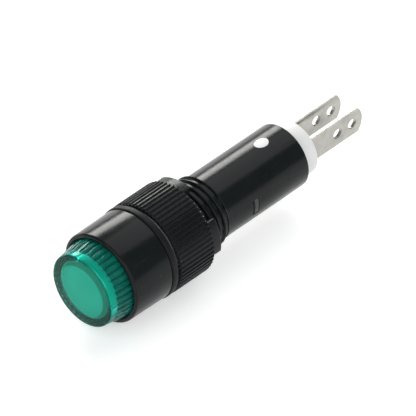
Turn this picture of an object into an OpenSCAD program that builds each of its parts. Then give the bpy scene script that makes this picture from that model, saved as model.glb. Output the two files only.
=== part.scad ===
// Panel pilot light for a 10 mm hole: green lens, black housing with a threaded bush,
// castellated ring nut, and a light-emitting diode on a small circuit board inside.
// The axis is Y. The lens faces -Y, the solder tabs face +Y and +Z is up.
// The origin is on the axis, at the rear face of the head, where the gasket seats.

/* [Head] */
// Outside diameter that the head, the gasket and the ring nut share
rim_d = 13.44; // [13:0.02:14]
// How much smaller than that the head is where it meets the gasket
head_inset = 0.28; // [-0.16:0.02:0.62]
// How much narrower the head is at its front face than at the gasket
head_taper = 0.18; // [-0.24:0.02:0.52]
// Length of the head in front of the panel
head_len = 6.6; // [6:0.1:9]
// Radius of the head's front outer edge
head_edge_r = 0.35; // [0.15:0.05:0.5]
// Radius of the head's rear outer edge
head_rear_edge_r = 0.2; // [0.1:0.05:0.4]
// Wall between the lens pocket and the panel
head_floor = 1.4; // [1:0.1:2]
// Chamfer at the mouth of the lens pocket
pocket_chamfer = 0.18; // [0.08:0.02:0.22]

/* [Lens] */
// Diameter of the lens at its front corner
lens_front_d = 10.46; // [10:0.02:10.9]
// Diameter of the lens from the head's front face inwards
lens_base_d = 11.46; // [10.9:0.02:11.6]
// How far the lens stands out of the head
lens_out = 3.4; // [2.5:0.1:8]
// Radius of the lens's front edge
lens_edge_r = 0.35; // [0.15:0.05:0.6]
// Thickness of the lens's front wall
lens_front_wall = 0.9; // [0.6:0.05:1.4]
// Inside diameter of the lens
lens_bore_d = 8.4; // [8:0.05:8.8]
// Number of grip flutes round the lens
lens_flutes = 40; // [24:1:44]
// Radius of a flute's round section and of its ball-shaped front end
flute_r = 0.28; // [0.2:0.02:0.3]
// Depth of a flute
flute_depth = 0.15; // [0.08:0.01:0.18]
// Distance from the lens's front to the centre of a flute's ball end
flute_start = 1.2; // [0.9:0.05:2]
// Height of the snap bead round the lens
lens_bead_h = 0.15; // [0.1:0.01:0.2]
// Length of the snap bead along the axis
lens_bead_len = 0.8; // [0.5:0.1:1.2]
// Thickness of the diffuser's disc
diffuser_t = 0.5; // [0.4:0.05:0.9]
// Length of the diffuser's skirt behind its disc
diffuser_skirt = 0.5; // [0.3:0.05:1]
// Wall of the diffuser's skirt
diffuser_wall = 0.5; // [0.4:0.05:0.8]
// Section diameter of the ring seal behind the lens
seal_d = 0.9; // [0.7:0.05:1]

/* [Bush and barrel] */
// Diameter over the fine thread, which is drawn as a plain shank
thread_d = 10; // [9.8:0.05:10.2]
// Length of the threaded bush behind the head
bush_len = 12.5; // [11.5:0.1:14]
// Chamfer at the end of the thread
thread_chamfer = 0.4; // [0.2:0.05:0.45]
// Diameter of the smooth barrel
barrel_d = 9.3; // [8.9:0.02:9.4]
// Length of the barrel behind the thread
barrel_len = 14.95; // [14:0.05:18]
// Radius of the barrel's rear edge
barrel_edge_r = 0.25; // [0.1:0.05:0.35]
// Bore of the barrel
barrel_bore_d = 7.9; // [7.8:0.02:8]
// Bore of the bush
bush_bore_d = 6.8; // [6.7:0.02:7]
// How far the wider barrel bore reaches past the bush
bore_step = 0.8; // [0.5:0.1:1.5]
// Depth of the snap groove in the barrel
snap_h = 0.15; // [0.1:0.01:0.2]
// Length of the snap groove along the axis
snap_len = 0.9; // [0.7:0.1:1.2]

/* [Polarity dot] */
// Diameter of the white dot
dot_d = 2.3; // [1.5:0.1:2.5]
// Depth of the paint in its recess
dot_t = 0.12; // [0.08:0.01:0.2]
// Distance from the dot's centre to the barrel's rear end
dot_from_end = 4.25; // [3:0.05:5]

/* [Gasket and washer] */
// How much smaller than the shared diameter the gasket is
gasket_inset = 0.02; // [-0.36:0.02:0.3]
// Thickness of the gasket
gasket_t = 1; // [0.6:0.05:1.5]
// Radius of the gasket's outer edges
gasket_edge_r = 0.25; // [0.1:0.05:0.3]
// How much smaller than the shared diameter the toothed lock washer is
washer_inset = 1.04; // [0.44:0.02:1.44]
// Thickness of the lock washer
washer_t = 0.4; // [0.3:0.05:0.6]
// Number of gaps between the washer's inner teeth
washer_teeth = 12; // [8:1:16]
// Depth of those gaps
washer_tooth_h = 0.6; // [0.4:0.05:0.8]

/* [Ring nut] */
// Number of grip ribs
nut_ribs = 62; // [40:1:72]
// Depth of the grooves between the ribs
nut_rib_h = 0.24; // [0.15:0.01:0.3]
// Length of the ribbed grip
nut_grip = 6.2; // [5:0.1:7]
// Chamfer at both ends of the ribs
nut_chamfer = 0.2; // [0.1:0.05:0.3]
// Number of lugs on the rear of the nut, for a slotted wrench
nut_lugs = 4; // [3:1:6]
// How much smaller than the grip the lugs are across
nut_lug_inset = 0.24; // [0.04:0.02:1.44]
// Length of the lugs along the axis
nut_lug_len = 1.3; // [0.8:0.05:2]
// Angle that one lug covers
nut_lug_angle = 45; // [30:1:50]
// Turn of the first lug about the axis, from +X towards +Z
nut_lug_turn = 13.5; // [0:0.5:45]
// Chamfer at the mouths of the nut's bore
nut_mouth = 0.3; // [0.2:0.05:0.5]

/* [Light source] */
// Diameter of the light-emitting diode's dome
led_d = 5; // [4.8:0.05:5.1]
// Diameter of its rim
led_rim_d = 5.8; // [5.6:0.05:5.9]
// Thickness of its rim
led_rim_t = 1; // [0.8:0.05:1.2]
// Length of the diode from the tip of its dome to its base
led_len = 8.6; // [8.2:0.1:9]
// Distance between its two wires
led_pitch = 2.54; // [2.4:0.01:2.6]
// Side of its square wires
led_wire = 0.5; // [0.4:0.02:0.55]
// How far the wires reach into the resin
led_wire_in = 3; // [2:0.1:3.5]
// Height of the cup end of a wire
led_cup_h = 1; // [0.6:0.1:1.2]
// Bare length of wire between the diode and the circuit board
led_gap = 4; // [3:0.1:5]
// Outside diameter of the insulating sleeve on one wire
sleeve_d = 1.2; // [1.1:0.05:1.4]

/* [Carrier] */
// Grip of the carrier's front sleeve on the dome of the diode
carrier_grip = 4; // [3:0.1:4.5]
// Distance from the lens pocket's floor to the carrier
carrier_back = 0.4; // [0.2:0.1:1]
// Thickness of the carrier's collar
collar_t = 0.8; // [0.6:0.1:1.2]
// Wall of the carrier's snap arms
arm_t = 0.6; // [0.5:0.05:0.7]
// Width of the snap arms
arm_w = 2.2; // [1.8:0.1:2.6]
// Length of the arms behind the collar
arm_len = 5.2; // [4.8:0.1:6]
// Distance from the collar to the snap window in the barrel
window_from_collar = 2.8; // [2.5:0.1:3.3]
// Length of the snap window along the axis
window_len = 1.1; // [0.9:0.05:1.4]

/* [Circuit board] */
// Length of the circuit board
board_len = 15.9; // [15.5:0.1:16.2]
// Thickness of the circuit board
board_t = 0.8; // [0.6:0.1:0.9]
// Length of a diode wire on its solder pad
pad_len = 2; // [1.6:0.1:2.2]
// Distance from the front of the board to the middle of the two components
parts_from_front = 6.6; // [6.4:0.1:7]
// Distance between the two components
parts_pitch = 2.4; // [2.3:0.05:2.5]
// Diameter of the resistor's body
resistor_d = 1.8; // [1.6:0.05:1.9]
// Length of the resistor's body
resistor_len = 3.4; // [3:0.1:3.8]
// Diameter of the protection diode's body
diode_d = 1.9; // [1.7:0.05:1.95]
// Length of the protection diode's body
diode_len = 3.9; // [3.5:0.1:4.2]
// Diameter of the components' wires
wire_d = 0.46; // [0.4:0.02:0.5]
// Straight wire at each end of a component, before it bends down
wire_run = 1.1; // [0.9:0.05:1.3]
// How far a wire stands out under the board
wire_out = 0.5; // [0.3:0.05:0.6]

/* [Terminal base] */
// Diameter of the white base
base_d = 7.8; // [7.7:0.02:7.86]
// How far the base stands out of the barrel
base_out = 2.45; // [2:0.05:4]
// How far the base reaches into the barrel
base_grip = 3; // [2.8:0.1:3.2]
// Chamfer at the base's ends
base_chamfer = 0.25; // [0.1:0.05:0.4]
// Inner wall that the tabs' shoulders bear on
base_floor = 0.8; // [0.6:0.1:1.2]

/* [Solder tabs] */
// Distance between the middles of the two tabs
tab_pitch = 3.8; // [3.4:0.05:4]
// Width of a tab
tab_w = 3.85; // [3.4:0.05:4.2]
// Thickness of a tab
tab_t = 0.5; // [0.4:0.05:0.6]
// How far a tab stands out of the base
tab_out = 10.2; // [9:0.05:11]
// Radius of a tab's tip
tab_tip_r = 2.9; // [2.4:0.1:4]
// Diameter of the two wire holes in each tab
tab_hole_d = 1.5; // [1.2:0.05:1.7]
// Distance from the base to the first hole
tab_hole_1 = 5.5; // [4.8:0.05:6]
// Distance between the two holes
tab_hole_pitch = 2.75; // [2.5:0.05:3]
// Width of a tab's neck inside the base
neck_w = 1.2; // [1:0.1:1.4]
// Length of the neck in front of the base, soldered to the board
neck_len = 3.7; // [3.2:0.1:4]
// Radius of the solder beside a neck
neck_solder_r = 0.6; // [0.4:0.05:0.65]

/* [Clearances] */
// Gap round a piece that fits inside another
fit_gap = 0.05; // [0.03:0.01:0.06]
// Gap between faces that seat on each other
seat_gap = 0.02; // [0.01:0.01:0.05]

/* [Hidden] */
$fn = 96;

// Places along the axis
head_front_y = -head_len;
lens_front_y = head_front_y - lens_out;
pocket_floor_y = -head_floor;
seal_y = pocket_floor_y - seat_gap - seal_d / 2;
lens_rear_y = seal_y - seal_d / 2 - seat_gap;
lens_inner_y = lens_front_y + lens_front_wall;
bead_y = (head_front_y + lens_rear_y) / 2;
gasket_y = seat_gap;
washer_y = gasket_y + gasket_t + seat_gap;
nut_y = washer_y + washer_t + seat_gap;
grip_end_y = nut_y + nut_grip;
nut_end_y = grip_end_y + nut_lug_len;
step_y = bush_len + bore_step;
barrel_end_y = bush_len + barrel_len;
dot_y = barrel_end_y - dot_from_end;
carrier_front_y = pocket_floor_y + carrier_back;
led_seat_y = carrier_front_y + carrier_grip;
led_rim_y = led_seat_y + seat_gap;
led_tip_y = led_rim_y + led_rim_t - led_len;
led_base_y = led_rim_y + led_rim_t;
collar_y = step_y + seat_gap;
collar_end_y = collar_y + collar_t;
arm_end_y = collar_end_y + arm_len;
window_y = collar_end_y + window_from_collar;
board_y = led_base_y + led_gap;
board_end_y = board_y + board_len;
pad_end_y = board_y + pad_len;
parts_y = board_y + parts_from_front;
base_end_y = barrel_end_y + base_out;
base_front_y = barrel_end_y - base_grip;
shoulder_y = base_front_y + base_floor;
neck_front_y = base_front_y - neck_len;
tab_end_y = base_end_y + tab_out;
snap_y = barrel_end_y - base_grip / 2;

// Radii
head_rear_r = (rim_d - head_inset) / 2;
head_front_r = head_rear_r - head_taper / 2;
gasket_r = (rim_d - gasket_inset) / 2;
washer_r = (rim_d - washer_inset) / 2;
nut_r = rim_d / 2;
nut_lug_r = (rim_d - nut_lug_inset) / 2;
pocket_r = lens_base_d / 2 + fit_gap;
lens_bore_r = lens_bore_d / 2;
seal_r = (lens_base_d / 2 + lens_bore_r) / 2;
bush_bore_r = bush_bore_d / 2;
barrel_bore_r = barrel_bore_d / 2;
barrel_r = barrel_d / 2;
thread_r = thread_d / 2;
nut_bore_r = thread_r + fit_gap;
sleeve_bore_r = led_rim_d / 2 + fit_gap;
collar_r = barrel_bore_r - fit_gap;
base_r = base_d / 2;
snap_r = barrel_bore_r + snap_h;

// Heights of the circuit board and what stands on it
board_top_z = -led_wire / 2;
board_bottom_z = board_top_z - board_t;
board_w = 2 * (sqrt(pow(sleeve_bore_r, 2) - pow(board_bottom_z, 2)) - fit_gap);
// How far the two components stand above the board
parts_lift = 0.05;
resistor_z = board_top_z + resistor_d / 2 + parts_lift;
diode_z = board_top_z + diode_d / 2 + parts_lift;

// Solder: the cones round the components' wires, wide end on the board
joint_r = 0.5;
joint_h = 0.4;
// How much wider than its wire a cone's narrow end is, all round
joint_tip = 0.1;
// Solder: the half rounds over the diode's wires and the tabs' necks
led_joint_r = 1.24 * led_wire;
neck_joint_r = tab_t / 2 + neck_solder_r;
// Bare board in front of a diode joint, and at both ends of a neck joint
led_joint_margin = 0.3;
neck_joint_margin = 0.2;
// How far a diode joint covers the end of its wire
led_joint_cover = 0.2;

// Details
// Half of a rib's flat crest, and half of the flat between two ribs, as shares of their pitch
rib_crest = 0.22;
rib_root = 0.22;
// Run of the barbs' sloping front
barb_slope = 0.4;
// How far a piece's arms and neck reach into the part that carries them
arm_root = 0.2;
neck_root = 0.1;
// Radius of the resistor's waist, as a share of its diameter
resistor_waist = 0.44;
// How far a cutting shape overshoots what it cuts
over = 1;
// Rounding arcs cross their two sides by this much, where a bare touch has no clean edge
arc_lap = 0.002;

// Turns a shape drawn round Z so that its axis is Y
module along_y() {
    rotate([-90, 0, 0]) children();
}

// A ring or disc between two places on the axis
module ring_y(y0, y1, r_out, r_in = 0) {
    along_y() translate([0, 0, y0]) difference() {
        cylinder(h = y1 - y0, r = r_out);
        if (r_in > 0) translate([0, 0, -over]) cylinder(h = y1 - y0 + 2 * over, r = r_in);
    }
}

// A box between two corners
module box(low, high) {
    translate(low) cube(high - low);
}

// What comes off an outer corner at p = [radius, place] to round it with radius r.
// side is -1 at the front end of a profile and 1 at its rear end.
module corner_waste(p, r, side, draft = 0) {
    back = r * (1 - sin(draft)) / cos(draft);
    c = p + [-back, -side * r];
    far = 2 * r;
    difference() {
        polygon([c, [c[0], p[1] + side * far], p + [far, side * far],
                 c + far * [cos(draft), side * sin(draft)] * 2]);
        translate(c) circle(r = r + arc_lap);
    }
}

// Straight grip ribs, as the outline of a star with flat crests
module star(count, r_crest, r_root, crest_share, root_share) {
    step = 360 / count;
    polygon([for (i = [0:count - 1], k = [[-root_share, r_root], [root_share, r_root],
             [1 - crest_share, r_crest], [1 + crest_share, r_crest]])
             let (a = (i + k[0] / 2) * step) k[1] * [cos(a), sin(a)]]);
}

module housing() {
    head_draft = atan((head_rear_r - head_front_r) / head_len);
    front_corner = [head_front_r, head_front_y];
    rear_corner = [head_rear_r, 0];
    barrel_corner = [barrel_r, barrel_end_y];
    color("#1b1d1e") difference() {
        along_y() rotate_extrude() difference() {
            polygon([[0, head_front_y], front_corner, rear_corner, [thread_r, 0],
                     [thread_r, bush_len - thread_chamfer],
                     [thread_r - thread_chamfer, bush_len], [barrel_r, bush_len],
                     barrel_corner, [0, barrel_end_y]]);
            corner_waste(front_corner, head_edge_r, -1, head_draft);
            corner_waste(rear_corner, head_rear_edge_r, 1);
            corner_waste(barrel_corner, barrel_edge_r, 1);
        }
        ring_y(head_front_y - over, pocket_floor_y, pocket_r);
        along_y() translate([0, 0, head_front_y])
            cylinder(h = pocket_chamfer, r1 = pocket_r + pocket_chamfer, r2 = pocket_r);
        ring_y(bead_y - lens_bead_len / 2 - seat_gap, bead_y + lens_bead_len / 2 + seat_gap,
               pocket_r + lens_bead_h);
        ring_y(pocket_floor_y - over, step_y, bush_bore_r);
        ring_y(step_y, barrel_end_y + over, barrel_bore_r);
        ring_y(snap_y - snap_len / 2, snap_y + snap_len / 2, snap_r);
        snap_windows();
        dot_space(barrel_r + over);
    }
}

// The two openings in the barrel that the carrier's barbs snap into
module snap_windows() {
    half_w = arm_w / 2 + fit_gap;
    for (side = [0, 1]) mirror([side, 0, 0])
        box([barrel_bore_r / 2, window_y, -half_w],
            [barrel_r + over, window_y + window_len, half_w]);
}

// The space of the polarity dot, from the floor of its recess out to radius r_out
module dot_space(r_out) {
    intersection() {
        translate([0, dot_y, 0]) cylinder(h = barrel_d, r = dot_d / 2);
        ring_y(dot_y - dot_d, dot_y + dot_d, r_out, barrel_r - dot_t);
    }
}

module polarity_dot() {
    color("white") dot_space(barrel_r);
}

module lens() {
    lens_draft = atan((lens_base_d - lens_front_d) / 2 / lens_out);
    r = lens_base_d / 2;
    front_corner = [lens_front_d / 2, lens_front_y];
    bead_half = lens_bead_len / 2;
    color("#2fa085", 0.75) difference() {
        along_y() rotate_extrude() difference() {
            polygon([[0, lens_front_y], front_corner, [r, head_front_y],
                     [r, bead_y - bead_half], [r + lens_bead_h, bead_y - lens_bead_h],
                     [r + lens_bead_h, bead_y + bead_half], [r, bead_y + bead_half],
                     [r, lens_rear_y], [0, lens_rear_y]]);
            corner_waste(front_corner, lens_edge_r, -1, lens_draft);
        }
        ring_y(lens_inner_y, lens_rear_y + over, lens_bore_r);
        for (i = [0:lens_flutes - 1]) rotate([0, (i + 0.5) * 360 / lens_flutes, 0])
            lens_flute(lens_draft);
    }
}

// The space of the flute on +X, cut with a ball cutter along the side of the lens
module lens_flute(lens_draft) {
    start_y = lens_front_y + flute_start;
    start_r = lens_front_d / 2 + flute_start * tan(lens_draft);
    along_y() translate([start_r + flute_r - flute_depth, 0, start_y]) rotate([0, lens_draft, 0]) {
        sphere(r = flute_r);
        cylinder(h = bead_y - lens_bead_len / 2 - start_y, r = flute_r);
    }
}

module lens_seal() {
    color("#26282a") along_y() translate([0, 0, seal_y])
        rotate_extrude() translate([seal_r, 0]) circle(r = seal_d / 2, $fn = 48);
}

module diffuser() {
    disc_y = lens_inner_y + seat_gap;
    rear_y = disc_y + diffuser_t + diffuser_skirt;
    r = lens_bore_r - fit_gap;
    color("#e9efe9") difference() {
        ring_y(disc_y, rear_y, r);
        ring_y(disc_y + diffuser_t, rear_y + over, r - diffuser_wall);
    }
}

module gasket() {
    color("#2a2b2b") along_y() translate([0, 0, gasket_y]) rotate_extrude() difference() {
        translate([nut_bore_r, 0]) square([gasket_r - nut_bore_r, gasket_t]);
        corner_waste([gasket_r, 0], gasket_edge_r, -1);
        corner_waste([gasket_r, gasket_t], gasket_edge_r, 1);
    }
}

module lock_washer() {
    gap_w = PI * nut_bore_r / washer_teeth;
    color("#8d9093") difference() {
        ring_y(washer_y, washer_y + washer_t, washer_r, nut_bore_r);
        for (i = [0:washer_teeth - 1]) rotate([0, i * 360 / washer_teeth, 0])
            box([0, washer_y - over, -gap_w / 2],
                [nut_bore_r + washer_tooth_h, washer_y + washer_t + over, gap_w / 2]);
    }
}

module ring_nut() {
    lug_step = 360 / nut_lugs;
    color("#1f2122") difference() {
        union() {
            along_y() intersection() {
                translate([0, 0, nut_y]) linear_extrude(nut_grip)
                    star(nut_ribs, nut_r, nut_r - nut_rib_h, rib_crest, rib_root);
                rotate_extrude() polygon([[0, nut_y], [nut_r - nut_chamfer, nut_y],
                    [nut_r, nut_y + nut_chamfer], [nut_r, grip_end_y - nut_chamfer],
                    [nut_r - nut_chamfer, grip_end_y], [0, grip_end_y]]);
            }
            for (i = [0:nut_lugs - 1]) rotate([0, -nut_lug_turn - i * lug_step, 0])
                nut_lug();
        }
        ring_y(nut_y - over, nut_end_y + over, nut_bore_r);
        nut_mouth_cone(nut_y, 1);
        nut_mouth_cone(nut_end_y, -1);
    }
}

// One lug, centred on +X, as a sector of a ring
module nut_lug() {
    half = nut_lug_angle / 2;
    reach = 2 * nut_lug_r;
    along_y() translate([0, 0, grip_end_y - nut_chamfer]) intersection() {
        cylinder(h = nut_lug_len + nut_chamfer, r = nut_lug_r);
        linear_extrude(nut_lug_len + nut_chamfer)
            polygon([[0, 0], reach * [cos(half), -sin(half)], reach * [1, 0],
                     reach * [cos(half), sin(half)]]);
    }
}

// The chamfer at one mouth of the nut's bore; it narrows in direction dir
module nut_mouth_cone(y, dir) {
    along_y() rotate_extrude() polygon([[0, y - dir], [nut_bore_r + nut_mouth, y - dir],
        [nut_bore_r + nut_mouth, y], [nut_bore_r, y + dir * nut_mouth],
        [0, y + dir * nut_mouth]]);
}

module carrier() {
    color("#2c2f30") difference() {
        union() {
            ring_y(carrier_front_y, collar_y, bush_bore_r - fit_gap);
            ring_y(collar_y, collar_end_y, collar_r);
            snap_arms();
        }
        ring_y(carrier_front_y - over, led_seat_y + over, led_d / 2 + fit_gap);
        ring_y(led_seat_y, collar_end_y + over, sleeve_bore_r);
    }
}

// Two spring arms behind the collar, each with a barb that snaps into a window
module snap_arms() {
    inner = collar_r - arm_t;
    barb_y = window_y + fit_gap;
    barb_end_y = window_y + window_len - fit_gap;
    for (side = [0, 1]) mirror([side, 0, 0]) {
        intersection() {
            ring_y(collar_end_y - arm_root, arm_end_y, collar_r, inner);
            box([0, collar_end_y - arm_root, -arm_w / 2], [barrel_r, arm_end_y, arm_w / 2]);
        }
        intersection() {
            ring_y(barb_y, barb_end_y, barrel_r - fit_gap);
            translate([0, 0, -arm_w / 2]) linear_extrude(arm_w)
                polygon([[collar_r - arm_t / 2, barb_y], [collar_r, barb_y],
                         [barrel_r, barb_y + barb_slope], [barrel_r, barb_end_y],
                         [collar_r - arm_t / 2, barb_end_y]]);
        }
    }
}

module led_capsule() {
    dome_y = led_tip_y + led_d / 2;
    color("#6fd3a5", 0.8) difference() {
        union() {
            ring_y(dome_y, led_base_y, led_d / 2);
            ring_y(led_rim_y, led_base_y, led_rim_d / 2);
            translate([0, dome_y, 0]) along_y() rotate_extrude() intersection() {
                circle(r = led_d / 2);
                translate([0, -led_d]) square([led_d, led_d]);
            }
        }
        led_wire_shape(1);
        led_wire_shape(-1);
    }
}

// One wire of the light-emitting diode, with its cup end inside the resin
module led_wire_shape(side) {
    half = led_wire / 2;
    x = side * led_pitch / 2;
    cup_y = led_base_y - led_wire_in;
    cup_w = side > 0 ? led_wire : led_wire * 2;
    box([x - half, cup_y, -half], [x + half, pad_end_y, half]);
    box([x - half, cup_y, -half], [x - half + cup_w, cup_y + led_cup_h, half]);
}

module led_anode_wire() {
    color("silver") led_wire_shape(1);
}

module led_cathode_wire() {
    color("silver") led_wire_shape(-1);
}

module wire_sleeve() {
    inner = led_wire / sqrt(2) + seat_gap;
    color("#d8d2c4") translate([led_pitch / 2, 0, 0])
        ring_y(led_base_y + seat_gap, board_y - seat_gap, sleeve_d / 2, inner);
}

module circuit_board() {
    color("#2f6b3c") difference() {
        box([-board_w / 2, board_y, board_bottom_z], [board_w / 2, board_end_y, board_top_z]);
        board_holes(-1, resistor_len);
        board_holes(1, diode_len);
    }
}

// The two holes that take the wires of the component on one side of the board
module board_holes(side, len) {
    for (dir = [-1, 1])
        translate([side * parts_pitch / 2, parts_y + dir * (len / 2 + wire_run),
                   board_bottom_z - over])
            cylinder(h = board_t + 2 * over, r = wire_d / 2 + seat_gap, $fn = 32);
}

module resistor_body() {
    cap_len = resistor_len / 4;
    color("#c9a46c") translate([-parts_pitch / 2, parts_y, resistor_z]) {
        ring_y(-resistor_len / 2 + cap_len, resistor_len / 2 - cap_len,
               resistor_d * resistor_waist);
        for (end = [-1, 1]) translate([0, end * (resistor_len - cap_len) / 2, 0])
            ring_y(-cap_len / 2, cap_len / 2, resistor_d / 2);
    }
}

module protection_diode_body() {
    color("#33302d") translate([parts_pitch / 2, parts_y, diode_z])
        ring_y(-diode_len / 2, diode_len / 2, diode_d / 2);
}

// The two bent wires of a component: out along the axis, then down through the board
module component_wires(side, len, z) {
    r = wire_d / 2;
    for (dir = [-1, 1]) {
        face_y = parts_y + dir * len / 2;
        bend_y = face_y + dir * wire_run;
        translate([side * parts_pitch / 2, 0, 0]) {
            translate([0, min(face_y, bend_y), z]) along_y() cylinder(h = wire_run, r = r, $fn = 32);
            translate([0, bend_y, z]) sphere(r = r, $fn = 32);
            translate([0, bend_y, board_bottom_z - wire_out])
                cylinder(h = z - board_bottom_z + wire_out, r = r, $fn = 32);
        }
    }
}

module resistor_wires() {
    color("silver") component_wires(-1, resistor_len, resistor_z);
}

module protection_diode_wires() {
    color("silver") component_wires(1, diode_len, diode_z);
}

module solder_joints() {
    color("#b9bcbe") {
        wire_joints(-1, resistor_len);
        wire_joints(1, diode_len);
        for (side = [-1, 1]) {
            led_joint(side);
            neck_joint(side);
        }
    }
}

// Cones of solder round a component's wires, under the board
module wire_joints(side, len) {
    for (dir = [-1, 1])
        translate([side * parts_pitch / 2, parts_y + dir * (len / 2 + wire_run),
                   board_bottom_z - joint_h]) difference() {
            cylinder(h = joint_h, r1 = wire_d / 2 + joint_tip, r2 = joint_r, $fn = 32);
            translate([0, 0, -over]) cylinder(h = joint_h + 2 * over, r = wire_d / 2, $fn = 32);
        }
}

// Solder over one wire of the light-emitting diode
module led_joint(side) {
    half = led_wire / 2;
    x = side * led_pitch / 2;
    far = led_joint_r + over;
    difference() {
        translate([x, 0, board_top_z])
            ring_y(board_y + led_joint_margin, pad_end_y + led_joint_cover, led_joint_r);
        box([x - far, board_y - over, board_top_z - far], [x + far, pad_end_y + over, board_top_z]);
        box([x - half, board_y - over, -half], [x + half, pad_end_y, half]);
    }
}

// Solder on both sides of one tab's neck
module neck_joint(side) {
    x = side * tab_pitch / 2;
    far = neck_joint_r + over;
    difference() {
        translate([x, 0, board_top_z])
            ring_y(neck_front_y + neck_joint_margin, board_end_y - neck_joint_margin, neck_joint_r);
        box([x - far, neck_front_y - over, board_top_z - far],
            [x + far, board_end_y + over, board_top_z]);
        box([x - tab_t / 2, neck_front_y - over, board_top_z - over],
            [x + tab_t / 2, board_end_y + over, board_top_z + far]);
    }
}

module terminal_base() {
    bead = snap_h - fit_gap;
    color("#f2f2ee") difference() {
        along_y() rotate_extrude() polygon([[0, base_front_y], [base_r - base_chamfer, base_front_y],
            [base_r, base_front_y + base_chamfer], [base_r, snap_y - snap_len / 2 + fit_gap],
            [barrel_bore_r + bead, snap_y], [barrel_bore_r + bead, snap_y + snap_len / 2 - fit_gap],
            [base_r, snap_y + snap_len / 2 - fit_gap], [base_r, base_end_y - base_chamfer],
            [base_r - base_chamfer, base_end_y], [0, base_end_y]]);
        for (side = [-1, 1]) {
            x = side * tab_pitch / 2;
            half_t = tab_t / 2 + seat_gap;
            box([x - half_t, shoulder_y - seat_gap, -tab_w / 2 - seat_gap],
                [x + half_t, base_end_y + over, tab_w / 2 + seat_gap]);
            box([x - half_t, base_front_y - over, board_top_z - seat_gap],
                [x + half_t, shoulder_y + over, board_top_z + neck_w + seat_gap]);
        }
    }
}

// One solder tab: a plate with a rounded tip, two wire holes, and a narrow inner neck
module tab(side) {
    x = side * tab_pitch / 2;
    tip_sag = tab_tip_r - sqrt(pow(tab_tip_r, 2) - pow(tab_w / 2, 2));
    color("#b4b1a6") difference() {
        union() {
            intersection() {
                box([x - tab_t / 2, shoulder_y, -tab_w / 2], [x + tab_t / 2, tab_end_y, tab_w / 2]);
                union() {
                    box([x - tab_t, shoulder_y, -tab_w], [x + tab_t, tab_end_y - tip_sag, tab_w]);
                    translate([x - tab_t, tab_end_y - tab_tip_r, 0]) rotate([0, 90, 0])
                        cylinder(h = 2 * tab_t, r = tab_tip_r);
                }
            }
            box([x - tab_t / 2, neck_front_y, board_top_z],
                [x + tab_t / 2, shoulder_y + neck_root, board_top_z + neck_w]);
        }
        for (i = [0, 1]) translate([x - tab_t, base_end_y + tab_hole_1 + i * tab_hole_pitch, 0])
            rotate([0, 90, 0]) cylinder(h = 2 * tab_t, r = tab_hole_d / 2, $fn = 48);
    }
}

module tab_positive() {
    tab(1);
}

module tab_negative() {
    tab(-1);
}

housing();
lens();
lens_seal();
diffuser();
gasket();
lock_washer();
ring_nut();
polarity_dot();
carrier();
led_capsule();
led_anode_wire();
led_cathode_wire();
wire_sleeve();
circuit_board();
resistor_body();
resistor_wires();
protection_diode_body();
protection_diode_wires();
solder_joints();
terminal_base();
tab_positive();
tab_negative();
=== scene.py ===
import math

import bmesh
import bpy
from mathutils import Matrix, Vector


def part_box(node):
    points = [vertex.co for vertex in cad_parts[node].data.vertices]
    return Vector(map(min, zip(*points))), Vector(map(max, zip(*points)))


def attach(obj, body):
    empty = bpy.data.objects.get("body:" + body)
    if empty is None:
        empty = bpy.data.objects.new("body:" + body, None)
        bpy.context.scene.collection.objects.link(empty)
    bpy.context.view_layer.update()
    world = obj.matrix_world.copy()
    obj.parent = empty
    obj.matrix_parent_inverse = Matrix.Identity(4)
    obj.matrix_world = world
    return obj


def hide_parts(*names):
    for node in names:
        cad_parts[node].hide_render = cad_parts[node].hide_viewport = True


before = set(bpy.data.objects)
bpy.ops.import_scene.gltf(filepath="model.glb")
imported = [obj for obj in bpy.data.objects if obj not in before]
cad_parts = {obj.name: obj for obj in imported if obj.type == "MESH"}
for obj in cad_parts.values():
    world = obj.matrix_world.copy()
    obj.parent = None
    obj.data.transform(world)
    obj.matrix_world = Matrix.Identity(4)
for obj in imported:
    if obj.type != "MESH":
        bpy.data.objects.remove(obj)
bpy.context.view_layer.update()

# A panel pilot light for a 10 mm hole. Its outer pieces are made here, in place of their plain
# solids; the inner pieces keep theirs and get a finish.
# The axis is Y: the lens faces -Y, the solder tabs face +Y and +Z is up.
# Lengths are in metres; MM turns a size in millimetres into one.

MM = 0.001

# ---------------------------------------------------------------- sizes

HOUSING_LOW, HOUSING_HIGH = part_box("housing")
LENS_LOW, LENS_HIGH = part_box("lens")
DIFFUSER_LOW, DIFFUSER_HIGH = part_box("diffuser")
GASKET_LOW, GASKET_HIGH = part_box("gasket")
WASHER_LOW, WASHER_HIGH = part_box("lock_washer")
NUT_LOW, NUT_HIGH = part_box("ring_nut")
BASE_LOW, BASE_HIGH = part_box("terminal_base")
DOT_LOW, DOT_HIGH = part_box("polarity_dot")

# Head and lens pocket
HEAD_FRONT = HOUSING_LOW.y
HEAD_REAR_R = HOUSING_HIGH.x
HEAD_TAPER = 0.09 * MM
HEAD_FRONT_R = HEAD_REAR_R - HEAD_TAPER
HEAD_FRONT_ROUND = 0.35 * MM
HEAD_REAR_ROUND = 0.2 * MM
POCKET_R = 5.78 * MM
POCKET_CHAMFER = 0.18 * MM
POCKET_FLOOR = -1.4 * MM

# Threaded bush and barrel
THREAD_R = 5.0 * MM
THREAD_PITCH = 1.0 * MM
THREAD_DEPTH = 0.5 * MM
THREAD_START = 0.9 * MM
THREAD_RUN_OUT = 0.5 * MM
THREAD_END = 12.5 * MM
THREAD_CHAMFER = 0.4 * MM
SHANK_GAP = 0.05 * MM
BARREL_R = 4.65 * MM
BARREL_END = HOUSING_HIGH.y
BARREL_ROUND = 0.25 * MM
BUSH_BORE_R = 3.4 * MM
BORE_STEP = 13.3 * MM
BARREL_BORE_R = 3.95 * MM
WINDOW_FRONT = 16.92 * MM
WINDOW_REAR = 18.02 * MM
WINDOW_HALF = 1.15 * MM

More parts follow.
